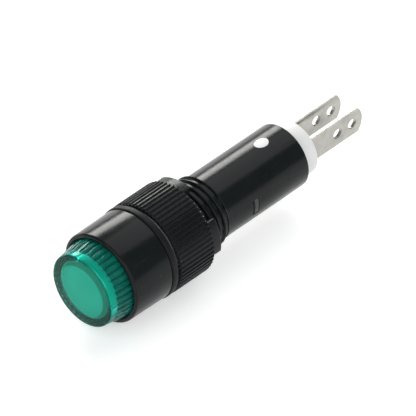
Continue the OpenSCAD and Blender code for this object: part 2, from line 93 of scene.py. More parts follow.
# Lens
LENS_FRONT_R = 5.23 * MM
LENS_BASE_R = 5.73 * MM
LENS_ROUND = 0.35 * MM
LENS_BORE_R = 4.2 * MM
LENS_WALL = 0.9 * MM
LENS_RING_R = 3.72 * MM
LENS_RING_BLEND = 0.15 * MM
LENS_TAPER = (LENS_BASE_R - LENS_FRONT_R) / (HEAD_FRONT - LENS_LOW.y)
FLUTES = 40
FLUTE_R = 0.28 * MM
FLUTE_DEPTH = 0.15 * MM
FLUTE_START = LENS_LOW.y + 1.2 * MM
BEAD_PLACE = -4.47 * MM
BEAD_HALF = 0.4 * MM
BEAD_HEIGHT = 0.15 * MM

# Ring nut
NUT_CREST_R = NUT_HIGH.z
NUT_RIBS = 62
NUT_RIB_DEPTH = 0.24 * MM
NUT_GRIP_END = 7.66 * MM
NUT_END_ROUND = 0.2 * MM
LUG_R = 6.6 * MM
LUG_COUNT = 4
LUG_ANGLE = math.radians(45)
LUG_TURN = math.radians(13.5)
LUG_ROUND = 0.18 * MM
NUT_MOUTH = 0.3 * MM
NUT_REAR_MOUTH = 0.15 * MM
THREAD_GAP = 0.06 * MM
NUT_BORE_R = THREAD_R + THREAD_GAP

# ---------------------------------------------------------------- outlines and meshes

ARC_STEP = math.radians(15)
MERGE_REACH = 0.0002 * MM


def rounded(corners, closed=True):
    """An outline through corners of (u, v, radius), with an arc of that radius at each corner."""
    points = []
    for i, (u, v, radius) in enumerate(corners):
        here = Vector((u, v))
        if radius == 0 or (not closed and i in (0, len(corners) - 1)):
            points.append(here)
            continue
        before = (Vector(corners[i - 1][:2]) - here).normalized()
        after = (Vector(corners[(i + 1) % len(corners)][:2]) - here).normalized()
        half = before.angle(after) / 2
        middle = here + (before + after).normalized() * (radius / math.sin(half))
        start = (here + before * (radius / math.tan(half)) - middle).normalized()
        end = (here + after * (radius / math.tan(half)) - middle).normalized()
        steps = max(2, math.ceil((math.pi - 2 * half) / ARC_STEP))
        points += [middle + start.slerp(end, k / steps) * radius for k in range(steps + 1)]
    return points


def spread(start, end, count):
    """count places from start to end, both included."""
    return [start + (end - start) * k / (count - 1) for k in range(count)]


def eased(share, roundness):
    """A ramp from 0 to 1 whose two ends are eased by the given roundness, 0 to 1."""
    share = min(max(share, 0.0), 1.0)
    return share - roundness * math.sin(2 * math.pi * share) / (2 * math.pi)


def ring_point(place, radius, angle):
    """A point round the axis. The angle goes from +X towards +Z."""
    return (radius * math.cos(angle), place, radius * math.sin(angle))


def piece_from(name, bm, material, body, nodes, sharp=math.radians(38)):
    """Makes bm a shown piece: smooth but for its sharp edges, on its body, in place of nodes."""
    bmesh.ops.remove_doubles(bm, verts=bm.verts, dist=MERGE_REACH)
    bmesh.ops.recalc_face_normals(bm, faces=bm.faces)
    for face in bm.faces:
        face.smooth = True
    for edge in bm.edges:
        edge.smooth = len(edge.link_faces) == 2 and edge.calc_face_angle(0) < sharp
    mesh = bpy.data.meshes.new(name)
    bm.to_mesh(mesh)
    bm.free()
    mesh.materials.append(material)
    piece = bpy.data.objects.new(name, mesh)
    bpy.context.scene.collection.objects.link(piece)
    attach(piece, body)
    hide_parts(*nodes)


def add_grid(bm, rings, closed=False):
    """Adds the faces between neighbouring rings of points, and from last to first if closed."""
    verts = [[bm.verts.new(p) for p in ring] for ring in rings]
    pairs = list(zip(verts, verts[1:]))
    if closed:
        pairs.append((verts[-1], verts[0]))
    for one, other in pairs:
        for i in range(len(one)):
            j = (i + 1) % len(one)
            bm.faces.new((one[i], one[j], other[j], other[i]))
    return verts


def revolved(rows, columns, closed=True):
    """The surface round the axis of rows of (place, radius). A radius may depend on the angle."""
    bm = bmesh.new()
    angles = [2 * math.pi * c / columns for c in range(columns)]
    rings = []
    for place, radius in rows:
        at = radius if callable(radius) else lambda angle, r=radius: r
        rings.append([ring_point(place, at(a), a) for a in angles])
    add_grid(bm, rings, closed)
    return bm


def cut_away(bm, boxes):
    """bm less the boxes, given by two corners each."""
    mesh = bpy.data.meshes.new("blank")
    bmesh.ops.remove_doubles(bm, verts=bm.verts, dist=MERGE_REACH)
    bmesh.ops.recalc_face_normals(bm, faces=bm.faces)
    bm.to_mesh(mesh)
    bm.free()
    blank = bpy.data.objects.new("blank", mesh)
    tool_bm = bmesh.new()
    for low, high in boxes:
        made = bmesh.ops.create_cube(tool_bm, size=1)["verts"]
        size = Vector(high) - Vector(low)
        middle = (Vector(high) + Vector(low)) / 2
        bmesh.ops.scale(tool_bm, vec=size, verts=made)
        bmesh.ops.translate(tool_bm, vec=middle, verts=made)
    tool_mesh = bpy.data.meshes.new("tool")
    tool_bm.to_mesh(tool_mesh)
    tool_bm.free()
    tool = bpy.data.objects.new("tool", tool_mesh)
    for o in (blank, tool):
        bpy.context.scene.collection.objects.link(o)
    cut = blank.modifiers.new("cut", "BOOLEAN")
    cut.operation = "DIFFERENCE"
    cut.solver = "EXACT"
    cut.object = tool
    bpy.context.view_layer.update()
    result = bmesh.new()
    result.from_object(blank, bpy.context.evaluated_depsgraph_get())
    for o in (blank, tool):
        bpy.data.objects.remove(o)
    return result


# ---------------------------------------------------------------- node helpers


def feed(tree, socket, value):
    """Sets a socket to a plain value, or links it to the output that feeds it."""
    if isinstance(value, bpy.types.NodeSocket):
        tree.links.new(value, socket)
    else:
        socket.default_value = value


def feed_all(tree, node, **values):
    """Feeds a node's inputs by their names, with an underscore for each space."""
    for label, value in values.items():
        feed(tree, node.inputs[label.replace("_", " ")], value)


def add_node(tree, kind, inputs=None, **settings):
    """Adds a node. Each input is a plain value or the output that feeds it."""
    made = tree.nodes.new(kind)
    for name, value in settings.items():
        setattr(made, name, value)
    for name, value in (inputs or {}).items():
        feed(tree, made.inputs[name], value)
    return made


def noise(tree, vector, scale, detail, roughness=0.5):
    """The 0 to 1 value of a noise with that many lumps in a metre."""
    made = add_node(tree, "ShaderNodeTexNoise",
                    {"Vector": vector, "Scale": scale, "Detail": detail, "Roughness": roughness})
    return made.outputs["Fac"]


def remap(tree, value, from_low, from_high, to_low, to_high):
    """The value stretched from one range to another, and held at its ends."""
    made = add_node(tree, "ShaderNodeMapRange",
                    {"Value": value, "From Min": from_low, "From Max": from_high,
                     "To Min": to_low, "To Max": to_high})
    return made.outputs["Result"]


def blend_colours(tree, share, one, other):
    """One colour turning into the other as share goes from 0 to 1."""
    made = add_node(tree, "ShaderNodeMix", data_type="RGBA")
    # A Mix node's sockets share their names, so they go by number
    for number, value in ((0, share), (6, one), (7, other)):
        feed(tree, made.inputs[number], value)
    return made.outputs[2]


def calculate(tree, operation, one, other=0.0):
    """A Math node's value."""
    made = add_node(tree, "ShaderNodeMath", {0: one, 1: other}, operation=operation)
    return made.outputs[0]


def new_group(name, inputs, outputs):
    """An empty node group with these sockets. Gives its tree, its inputs and its output node."""
    tree = bpy.data.node_groups.new(name, "ShaderNodeTree")
    for label, kind, value in inputs:
        socket = tree.interface.new_socket(label, in_out="INPUT", socket_type=kind)
        socket.default_value = value
    for label, kind in outputs:
        tree.interface.new_socket(label, in_out="OUTPUT", socket_type=kind)
    return tree, tree.nodes.new("NodeGroupInput").outputs, tree.nodes.new("NodeGroupOutput")


FLOAT, COLOUR, VECTOR = "NodeSocketFloat", "NodeSocketColor", "NodeSocketVector"


def make_moulded_group():
    """Skin of a moulded plastic or rubber: slow drift of colour, soft waviness and fine grain."""
    tree, given, result = new_group(
        "moulded_skin",
        [("Colour", COLOUR, (0.5, 0.5, 0.5, 1)), ("Drift Colour", COLOUR, (0.5, 0.5, 0.5, 1)),
         ("Grain Scale", FLOAT, 8000.0), ("Grain Depth", FLOAT, 0.1),
         ("Wave Depth", FLOAT, 0.05), ("Rough Low", FLOAT, 0.2), ("Rough High", FLOAT, 0.3)],
        [("Colour", COLOUR), ("Roughness", FLOAT), ("Normal", VECTOR)])
    place = add_node(tree, "ShaderNodeTexCoord").outputs["Object"]
    drift = remap(tree, noise(tree, place, 320.0, 2.0), 0.35, 0.65, 0.0, 1.0)
    colour = blend_colours(tree, drift, given["Colour"], given["Drift Colour"])
    rough = remap(tree, noise(tree, place, 1500.0, 4.0, 0.6), 0.3, 0.7,
                  given["Rough Low"], given["Rough High"])
    waves = add_node(tree, "ShaderNodeBump", {
        "Strength": given["Wave Depth"], "Distance": 0.1 * MM,
        "Height": noise(tree, place, 700.0, 1.0)})
    bump = add_node(tree, "ShaderNodeBump", {
        "Strength": given["Grain Depth"], "Distance": 0.02 * MM,
        "Height": noise(tree, place, given["Grain Scale"], 2.0), "Normal": waves.outputs["Normal"]})
    feed_all(tree, result, Colour=colour, Roughness=rough, Normal=bump.outputs["Normal"])
    return tree


def make_handling_group():
    """What handling leaves on a surface: a mask of sparse dust and one of hair-fine scratches."""
    tree, given, result = new_group(
        "handling_marks",
        [("Dust Amount", FLOAT, 0.5), ("Scratch Amount", FLOAT, 0.5)],
        [("Dust", FLOAT), ("Scratches", FLOAT)])
    place = add_node(tree, "ShaderNodeTexCoord").outputs["Object"]
    specks = add_node(tree, "ShaderNodeTexVoronoi", {"Vector": place, "Scale": 1400.0})
    near = remap(tree, specks.outputs["Distance"], 0.05, 0.12, 1.0, 0.0)
    where = remap(tree, noise(tree, place, 260.0, 3.0), 0.5, 0.72, 0.0, 1.0)
    dust = calculate(tree, "MULTIPLY", calculate(tree, "MULTIPLY", near, where),
                     given["Dust Amount"])
    slant = add_node(tree, "ShaderNodeMapping", {
        "Vector": place, "Rotation": (0.4, 0.3, 0.7), "Scale": (2600.0, 170.0, 900.0)})
    hairs = remap(tree, noise(tree, slant.outputs["Vector"], 1.0, 2.0), 0.66, 0.72, 0.0, 1.0)
    scratches = calculate(tree, "MULTIPLY", hairs, given["Scratch Amount"])
    feed_all(tree, result, Dust=dust, Scratches=scratches)
    return tree


def make_rolled_metal_group():
    """Rolled or plated sheet: fine lines along the sheet, and soft clouds in the plating."""
    tree, given, result = new_group(
        "rolled_metal",
        [("Colour", COLOUR, (0.5, 0.5, 0.5, 1)), ("Cloud Colour", COLOUR, (0.5, 0.5, 0.5, 1)),
         ("Rough Low", FLOAT, 0.25), ("Rough High", FLOAT, 0.45), ("Line Depth", FLOAT, 0.1)],
        [("Colour", COLOUR), ("Roughness", FLOAT), ("Normal", VECTOR)])
    place = add_node(tree, "ShaderNodeTexCoord").outputs["Object"]
    clouds = remap(tree, noise(tree, place, 450.0, 4.0, 0.6), 0.35, 0.68, 0.0, 1.0)
    along = add_node(tree, "ShaderNodeMapping", {
        "Vector": place, "Scale": (9000.0, 260.0, 9000.0)})
    lines = noise(tree, along.outputs["Vector"], 1.0, 3.0)
    colour = blend_colours(tree, clouds, given["Colour"], given["Cloud Colour"])
    mixed = calculate(tree, "ADD", calculate(tree, "MULTIPLY", lines, 0.5),
                      calculate(tree, "MULTIPLY", clouds, 0.5))
    rough = remap(tree, mixed, 0.2, 0.8, given["Rough Low"], given["Rough High"])
    bump = add_node(tree, "ShaderNodeBump", {
        "Strength": given["Line Depth"], "Distance": 0.01 * MM, "Height": lines})
    feed_all(tree, result, Colour=colour, Roughness=rough, Normal=bump.outputs["Normal"])
    return tree


MOULDED = make_moulded_group()
HANDLING = make_handling_group()
ROLLED = make_rolled_metal_group()


def new_material(name, **constants):
    """A node material, its tree and its main shader, with constants set on the shader itself."""
    material = bpy.data.materials.new(name)
    material.use_nodes = True
    tree = material.node_tree
    shader = tree.nodes["Principled BSDF"]
    feed_all(tree, shader, **constants)
    return material, tree, shader


def place_group(tree, group, **values):
    """Places a node group with its values, and gives its outputs."""
    made = add_node(tree, "ShaderNodeGroup", node_tree=group)
    feed_all(tree, made, **values)
    return made.outputs


def moulded_material(name, colour, drift, rough, grain, grain_scale=8000.0, wave=0.05,
                     dust=0.0, scratches=0.0, **constants):
    """A moulded plastic or rubber, with dust and scratches where it is handled."""
    material, tree, shader = new_material(name, **constants)
    skin = place_group(tree, MOULDED, Colour=(*colour, 1), Drift_Colour=(*drift, 1),
                       Grain_Scale=grain_scale, Grain_Depth=grain, Wave_Depth=wave,
                       Rough_Low=rough[0], Rough_High=rough[1])
    colour_out, rough_out = skin["Colour"], skin["Roughness"]
    if dust or scratches:
        marks = place_group(tree, HANDLING, Dust_Amount=dust, Scratch_Amount=scratches)
        colour_out = blend_colours(tree, marks["Dust"], colour_out, (0.28, 0.28, 0.27, 1))
        for mark, roughening in (("Scratches", 0.25), ("Dust", 0.3)):
            more = calculate(tree, "MULTIPLY", marks[mark], roughening)
            rough_out = calculate(tree, "ADD", rough_out, more)
    feed_all(tree, shader, Base_Color=colour_out, Roughness=rough_out, Normal=skin["Normal"])
    return material


def metal_material(name, colour, clouds, rough, lines=0.1):
    """A rolled, plated or drawn metal."""
    material, tree, shader = new_material(name, Metallic=1.0)
    sheet = place_group(tree, ROLLED, Colour=(*colour, 1), Cloud_Colour=(*clouds, 1),
                        Rough_Low=rough[0], Rough_High=rough[1], Line_Depth=lines)
    feed_all(tree, shader, Base_Color=sheet["Colour"], Roughness=sheet["Roughness"],
             Normal=sheet["Normal"])
    return material


def clear_material(name, colour, drift, rough, transmission, ior, **constants):
    """A tinted clear plastic or resin."""
    return moulded_material(name, colour, drift, rough, grain=0.02, wave=0.02,
                            Transmission_Weight=transmission, IOR=ior, **constants)


def paint_lens_flute_shade(material, colour):
    """Paints shade into the lens's colour: a darker green in its grip flutes and in a ring on its
    front, over its wall.
    """
    tree = material.node_tree
    base = tree.nodes["Principled BSDF"].inputs["Base Color"]
    plain = base.links[0].from_socket
    spot = add_node(tree, "ShaderNodeTexCoord").outputs["Object"]
    axes = add_node(tree, "ShaderNodeSeparateXYZ", {"Vector": spot}).outputs
    reach = calculate(tree, "SQRT", calculate(
        tree, "ADD", calculate(tree, "MULTIPLY", axes["X"], axes["X"]),
        calculate(tree, "MULTIPLY", axes["Z"], axes["Z"])))
    # The side's radius between flutes, and how far into a flute a point lies, as a share.
    # The cap's inner faces lie deeper than any flute and keep the plain colour.
    land = calculate(tree, "ADD", calculate(tree, "MULTIPLY", axes["Y"], LENS_TAPER),
                     LENS_FRONT_R - LENS_TAPER * LENS_LOW.y)
    depth = calculate(tree, "DIVIDE", calculate(tree, "SUBTRACT", land, reach), FLUTE_DEPTH)
    outside = calculate(tree, "LESS_THAN", depth, 1.5)
    behind = calculate(tree, "GREATER_THAN", axes["Y"], FLUTE_START - FLUTE_R)
    flute = calculate(tree, "MULTIPLY", calculate(tree, "MULTIPLY", outside, behind),
                      calculate(tree, "MAXIMUM", calculate(tree, "MINIMUM", depth, 1.0), 0.0))
    over_wall = remap(tree, reach, LENS_RING_R, LENS_RING_R + LENS_RING_BLEND, 0.0, 1.0)
    front = calculate(tree, "LESS_THAN", axes["Y"], LENS_LOW.y + 0.1 * MM)
    share = calculate(tree, "MAXIMUM", flute, calculate(tree, "MULTIPLY", over_wall, front))
    # Painted shade: the plain colour turns to the darker green by that share
    tree.links.new(blend_colours(tree, share, plain, colour), base)


def banded_material(name, node_name, body_colour, bands, rough):
    """A small component's coating, with bands (middle, half, colour) at shares of its length."""
    material, tree, shader = new_material(name)
    low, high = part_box(node_name)
    skin = place_group(tree, MOULDED, Colour=(*body_colour, 1),
                       Drift_Colour=(*[c * 0.9 for c in body_colour], 1),
                       Grain_Scale=9000.0, Grain_Depth=0.1, Wave_Depth=0.1,
                       Rough_Low=rough[0], Rough_High=rough[1])
    place = add_node(tree, "ShaderNodeTexCoord").outputs["Object"]
    along = add_node(tree, "ShaderNodeSeparateXYZ", {"Vector": place}).outputs["Y"]
    share = remap(tree, along, low.y, high.y, 0.0, 1.0)
    colour = skin["Colour"]
    for middle, half, band in bands:
        off = calculate(tree, "ABSOLUTE", calculate(tree, "SUBTRACT", share, middle))
        inside = calculate(tree, "LESS_THAN", off, half)
        colour = blend_colours(tree, inside, colour, (*band, 1))
    feed_all(tree, shader, Base_Color=colour, Roughness=skin["Roughness"], Normal=skin["Normal"])
    return material


# ---------------------------------------------------------------- materials

black_plastic = moulded_material(
    "black_glossy_plastic", (0.0062, 0.0085, 0.0090), (0.0078, 0.0100, 0.0105), (0.17, 0.24),
    grain=0.06, wave=0.04, dust=0.35, scratches=0.6, Specular_IOR_Level=0.15)
nut_plastic = moulded_material(
    "black_nut_plastic", (0.0068, 0.0090, 0.0096), (0.0090, 0.0112, 0.0118), (0.24, 0.34),
    grain=0.12, wave=0.06, dust=0.5, scratches=0.5, Specular_IOR_Level=0.15)
gasket_rubber = moulded_material(
    "gasket_rubber", (0.0060, 0.0065, 0.0065), (0.0090, 0.0095, 0.0092), (0.42, 0.58),
    grain=0.3, grain_scale=12000.0, wave=0.1, dust=0.4, Specular_IOR_Level=0.15)
seal_rubber = moulded_material(
    "seal_rubber", (0.012, 0.012, 0.013), (0.017, 0.017, 0.017), (0.45, 0.6), grain=0.3)
green_plastic = clear_material(
    "green_lens_plastic", (0.04, 0.74, 0.60), (0.03, 0.70, 0.57), (0.09, 0.13),
    transmission=0.88, ior=1.25, Specular_Tint=(0.28, 0.95, 0.88, 1))
# Painted shade: a darker green in the lens's flutes and in the ring round its front face
paint_lens_flute_shade(green_plastic, (0.003, 0.27, 0.19, 1))
white_diffuser = moulded_material(
    "white_diffuser_plastic", (0.80, 0.82, 0.80), (0.76, 0.79, 0.77), (0.4, 0.5), grain=0.15)
white_plastic = moulded_material(
    "white_base_plastic", (0.86, 0.86, 0.85), (0.82, 0.82, 0.80), (0.35, 0.45),
    grain=0.15, dust=0.15)
dot_paint = moulded_material(
    "white_dot_paint", (0.82, 0.83, 0.84), (0.76, 0.77, 0.78), (0.35, 0.5),
    grain=0.4, grain_scale=5000.0, wave=0.15)
carrier_plastic = moulded_material(
    "carrier_plastic", (0.020, 0.022, 0.022), (0.026, 0.028, 0.028), (0.4, 0.5), grain=0.2)
sleeve_plastic = moulded_material(
    "sleeve_plastic", (0.70, 0.66, 0.55), (0.64, 0.60, 0.50), (0.4, 0.5), grain=0.15)
board_laminate = moulded_material(
    "board_laminate", (0.030, 0.145, 0.055), (0.045, 0.180, 0.070), (0.3, 0.42),
    grain=0.25, grain_scale=5200.0)
led_resin = clear_material(
    "led_resin", (0.35, 0.85, 0.58), (0.32, 0.80, 0.55), (0.04, 0.08), transmission=0.85, ior=1.54)
tinned_sheet = metal_material(
    "tinned_sheet", (0.40, 0.39, 0.355), (0.31, 0.305, 0.285), (0.26, 0.38), lines=0.25)
plated_steel = metal_material(
    "plated_steel", (0.42, 0.43, 0.45), (0.34, 0.35, 0.37), (0.28, 0.42), lines=0.2)
tinned_wire = metal_material(
    "tinned_wire", (0.68, 0.68, 0.66), (0.58, 0.58, 0.57), (0.22, 0.36))
solder_alloy = metal_material(
    "solder_alloy", (0.64, 0.65, 0.66), (0.50, 0.51, 0.52), (0.2, 0.4), lines=0.05)
resistor_coating = banded_material(
    "resistor_coating", "resistor_body", (0.60, 0.42, 0.22),
    [(0.14, 0.045, (0.26, 0.06, 0.02)), (0.36, 0.04, (0.01, 0.01, 0.01)),
     (0.54, 0.04, (0.26, 0.06, 0.02)), (0.86, 0.045, (0.55, 0.36, 0.09))], (0.3, 0.4))
diode_resin = banded_material(
    "diode_resin", "protection_diode_body", (0.020, 0.018, 0.017),
    [(0.86, 0.06, (0.62, 0.62, 0.60))], (0.35, 0.45))

# ---------------------------------------------------------------- thread


def thread_radius(place, angle):
    """Radius of a right-hand thread, one pitch further along +Y for each turn from +Z to +X."""
    turn = (place / THREAD_PITCH + angle / (2 * math.pi)) % 1.0
    off_crest = abs(turn - 0.5)
    crest_half, root_half = 0.08, 0.10
    share = (off_crest - crest_half) / (0.5 - crest_half - root_half)
    return THREAD_R - THREAD_DEPTH * eased(share, roundness=0.45)


def bush_radius(place, angle):
    """The bush's thread, run out to a neck behind the head and chamfered at its end."""
    chamfer = THREAD_R - max(0.0, place - (THREAD_END - THREAD_CHAMFER))
    neck = THREAD_R - THREAD_DEPTH * eased((THREAD_START - place) / THREAD_RUN_OUT, roundness=0.5)
    return max(min(thread_radius(place, angle), chamfer, neck), BARREL_R)


# ---------------------------------------------------------------- pieces


def make_housing():
    """Head, threaded bush and barrel, moulded in one piece."""
    front = rounded([
        (POCKET_FLOOR, BUSH_BORE_R, 0.1 * MM), (POCKET_FLOOR, POCKET_R, 0.1 * MM),
        (HEAD_FRONT + POCKET_CHAMFER, POCKET_R, 0.05 * MM),
        (HEAD_FRONT, POCKET_R + POCKET_CHAMFER, 0.06 * MM),
        (HEAD_FRONT, HEAD_FRONT_R, HEAD_FRONT_ROUND),
        (0.0, HEAD_REAR_R, HEAD_REAR_ROUND), (0.0, BARREL_R, 0.0)], closed=False)
    rear = rounded([
        (THREAD_END, BARREL_R, 0.0), (BARREL_END, BARREL_R, BARREL_ROUND),
        (BARREL_END, BARREL_BORE_R, 0.08 * MM), (BORE_STEP, BARREL_BORE_R, 0.1 * MM),
        (BORE_STEP, BUSH_BORE_R, 0.0)], closed=False)
    rows_per_pitch = 18
    count = round(THREAD_END / THREAD_PITCH * rows_per_pitch)
    thread = [(p, lambda a, p=p: bush_radius(p, a)) for p in spread(0.02 * MM, THREAD_END, count)]
    bm = revolved([*front, *thread, *rear[1:]], 160)
    # Each window is cut through the wall alone, from inside the bore
    cut_from, cut_to = 2.5 * MM, 5.5 * MM
    windows = []
    for side in (-1, 1):
        low, high = sorted((side * cut_from, side * cut_to))
        windows.append(((low, WINDOW_FRONT, -WINDOW_HALF), (high, WINDOW_REAR, WINDOW_HALF)))
    bm = cut_away(bm, windows)
    piece_from("housing_moulding", bm, black_plastic, "body", ["housing"],
               sharp=math.radians(50))


def lens_side_radius(place):
    """Radius of the lens's side without its flutes: tapered, then straight inside the head."""
    return LENS_FRONT_R + LENS_TAPER * (min(place, HEAD_FRONT) - LENS_LOW.y)


def fluted_radius(place, angle):
    """Radius over the lens's flutes, which a ball cutter leaves: round section, round front end."""
    side = lens_side_radius(place)
    pitch = 2 * math.pi / FLUTES
    off = (angle / pitch % 1.0 - 0.5) * pitch * side
    ahead = min(0.0, place - FLUTE_START)
    room = FLUTE_R ** 2 - off ** 2 - ahead ** 2
    if room <= 0:
        return side
    run_out = max(0.0, place - HEAD_FRONT) * LENS_TAPER
    cut = side + run_out - FLUTE_DEPTH + FLUTE_R - math.sqrt(room)
    # The flute's edges are softened where the cut leaves the side
    soft = 0.03 * MM
    depth = side - cut
    if depth <= 0:
        return side
    return side - depth ** 2 / (depth + soft)


def make_lens():
    """The green lens: a smooth front edge, then grip flutes with round ends down its side."""
    inner_face = LENS_LOW.y + LENS_WALL
    plain_end = FLUTE_START - 0.35 * MM
    front = rounded([
        (LENS_LOW.y, 0.0, 0.0), (LENS_LOW.y, LENS_FRONT_R, LENS_ROUND),
        (plain_end, lens_side_radius(plain_end), 0.0)], closed=False)
    flute_rear = BEAD_PLACE - BEAD_HALF - 0.1 * MM
    places = [*spread(FLUTE_START - FLUTE_R, FLUTE_START, 9),
              *spread(FLUTE_START + 0.1 * MM, HEAD_FRONT, 8),
              *spread(HEAD_FRONT + 0.2 * MM, flute_rear, 6)]
    side = [(p, lambda a, p=p: fluted_radius(p, a)) for p in places]
    rear = rounded([
        (BEAD_PLACE - BEAD_HALF - 0.05 * MM, LENS_BASE_R, 0.0),
        (BEAD_PLACE - BEAD_HALF, LENS_BASE_R, 0.05 * MM),
        (BEAD_PLACE - BEAD_HEIGHT, LENS_BASE_R + BEAD_HEIGHT, 0.1 * MM),
        (BEAD_PLACE + BEAD_HALF, LENS_BASE_R + BEAD_HEIGHT, 0.05 * MM),
        (BEAD_PLACE + BEAD_HALF, LENS_BASE_R, 0.0), (LENS_HIGH.y, LENS_BASE_R, 0.1 * MM),
        (LENS_HIGH.y, LENS_BORE_R, 0.1 * MM), (inner_face, LENS_BORE_R, 0.12 * MM),
        (inner_face, 0.0, 0.0)], closed=False)
    bm = revolved([*front, *side, *rear], FLUTES * 14, closed=False)
    piece_from("lens_cap", bm, green_plastic, "body", ["lens"],
               sharp=math.radians(50))


def make_diffuser():
    """The white cup behind the lens's front wall."""
    r = DIFFUSER_HIGH.x
    wall, disc = 0.5 * MM, 0.5 * MM
    outline = rounded([
        (DIFFUSER_LOW.y, 0.0, 0.0), (DIFFUSER_LOW.y, r, 0.1 * MM), (DIFFUSER_HIGH.y, r, 0.08 * MM),
        (DIFFUSER_HIGH.y, r - wall, 0.08 * MM), (DIFFUSER_LOW.y + disc, r - wall, 0.1 * MM),
        (DIFFUSER_LOW.y + disc, 0.0, 0.0)], closed=False)
    piece_from("diffuser_cup", revolved(outline, 96, closed=False), white_diffuser,
               "body", ["diffuser"])


def make_gasket():
    """The flat rubber ring between head and panel, with a faint line where its mould parts."""
    inner, outer = THREAD_R + SHANK_GAP, GASKET_HIGH.x
    middle = (GASKET_LOW.y + GASKET_HIGH.y) / 2
    flash, half = 0.012 * MM, 0.05 * MM
    outline = rounded([
        (GASKET_LOW.y, inner, 0.05 * MM), (GASKET_LOW.y, outer - flash, 0.24 * MM),
        (middle - half, outer - flash, 0.0), (middle, outer, 0.0),
        (middle + half, outer - flash, 0.0), (GASKET_HIGH.y, outer - flash, 0.24 * MM),
        (GASKET_HIGH.y, inner, 0.05 * MM)])
    piece_from("panel_gasket", revolved(outline, 160), gasket_rubber, "body",
               ["gasket"])


def make_washer():
    """The lock washer, with its inner teeth."""
    gaps, depth, soft = 12, 0.6 * MM, 0.06
    bore = THREAD_R + SHANK_GAP

    def tooth_edge(angle):
        off_gap = abs((angle * gaps / (2 * math.pi)) % 1.0 - 0.5) * 2
        return bore + depth * eased((off_gap - 0.5 + soft) / (2 * soft), roundness=0.3)

    edge = 0.06 * MM
    teeth_r = bore + depth + edge * 2
    outer = rounded([
        (WASHER_LOW.y, teeth_r, 0.0), (WASHER_LOW.y, WASHER_HIGH.x, edge),
        (WASHER_HIGH.y, WASHER_HIGH.x, edge), (WASHER_HIGH.y, teeth_r, 0.0)], closed=False)
    inner = [(WASHER_HIGH.y, lambda a: tooth_edge(a) + edge), (WASHER_HIGH.y - edge, tooth_edge),
             (WASHER_LOW.y + edge, tooth_edge), (WASHER_LOW.y, lambda a: tooth_edge(a) + edge)]
    piece_from("toothed_washer", revolved([*outer, *inner], 240), plated_steel,
               "washer", ["lock_washer"])


def nut_groove(angle):
    """How deep the nut's grip grooves are at an angle, as a share."""
    off_crest = abs((angle * NUT_RIBS / (2 * math.pi)) % 1.0 - 0.5)
    crest_half, flank = 0.12, 0.24
    return eased((off_crest - crest_half) / flank, roundness=0.5)


def nut_grip_radius(limit, angle):
    """Radius over the grip, which a rounded end limits."""
    return min(limit, NUT_CREST_R - NUT_RIB_DEPTH * nut_groove(angle))


def nut_bore_radius(place, angle):
    """The nut's own thread, which follows the bush's with a running gap and opens at its mouths."""
    mouth = max(NUT_LOW.y + NUT_MOUTH - place, place - (NUT_GRIP_END - NUT_REAR_MOUTH), 0.0)
    cone = THREAD_R + mouth if mouth > 0 else BARREL_R
    return max(thread_radius(place, angle), cone) + THREAD_GAP


def add_lug(bm, middle_angle):
    """One smooth lug on the rear of the nut, as a block bent round the axis."""
    root = NUT_GRIP_END - NUT_END_ROUND
    half = LUG_ANGLE / 2
    # Sections round the lug: the turn of each, and how far it lies inside the rounded end
    runs = [LUG_ROUND * (1 - math.cos(turn)) for turn in spread(0, math.pi / 2, 6)]
    turns = [(-half + run / LUG_R, run) for run in runs]
    turns += [(turn, LUG_ROUND) for turn in spread(-half, half, 13)[1:-1]]
    turns += [(half - run / LUG_R, run) for run in reversed(runs)]
    sections = []
    for turn, run in turns:
        inset = LUG_ROUND - math.sqrt(max(0.0, LUG_ROUND ** 2 - (LUG_ROUND - run) ** 2))
        outline = rounded([
            (root, NUT_BORE_R, 0.0), (root, LUG_R - inset, 0.0),
            (NUT_HIGH.y - inset, LUG_R - inset, 0.16 * MM),
            (NUT_HIGH.y - inset, NUT_BORE_R + NUT_MOUTH, 0.05 * MM),
            (NUT_HIGH.y - NUT_MOUTH, NUT_BORE_R, 0.05 * MM)])
        sections.append([ring_point(p, r, middle_angle + turn) for p, r in outline])
    rings = add_grid(bm, sections)
    bm.faces.new(rings[0])
    bm.faces.new(rings[-1])


def make_nut():
    """The ring nut: a fine ribbed grip, four wrench lugs behind it, and its thread."""
    # Two rings inside each rounded rim keep the end faces flat in the light
    plain_r = NUT_CREST_R - NUT_END_ROUND - 0.3 * MM
    rim_r = NUT_CREST_R - NUT_END_ROUND - 0.1 * MM
    rear_mouth_r = NUT_BORE_R + 0.12 * MM
    front = [(NUT_LOW.y, NUT_BORE_R + NUT_MOUTH), (NUT_LOW.y, plain_r)]
    rims = rounded([
        (NUT_LOW.y, rim_r, 0.0), (NUT_LOW.y, NUT_CREST_R, NUT_END_ROUND),
        (NUT_GRIP_END, NUT_CREST_R, NUT_END_ROUND), (NUT_GRIP_END, rim_r, 0.0)], closed=False)
    grip = [(p, lambda a, limit=limit: nut_grip_radius(limit, a)) for p, limit in rims]
    rear = [(NUT_GRIP_END, plain_r), (NUT_GRIP_END, rear_mouth_r)]
    rows_per_pitch = 10
    count = round((NUT_GRIP_END - NUT_LOW.y) / THREAD_PITCH * rows_per_pitch)
    thread = [(p, lambda a, p=p: nut_bore_radius(p, a))
              for p in spread(NUT_GRIP_END - 0.05 * MM, NUT_LOW.y + 0.05 * MM, count)]
    bm = revolved([*front, *grip, *rear, *thread], NUT_RIBS * 8)
    for k in range(LUG_COUNT):
        add_lug(bm, LUG_TURN + 2 * math.pi * k / LUG_COUNT)
    piece_from("ring_nut_moulding", bm, nut_plastic, "nut", ["ring_nut"],
               sharp=math.radians(55))


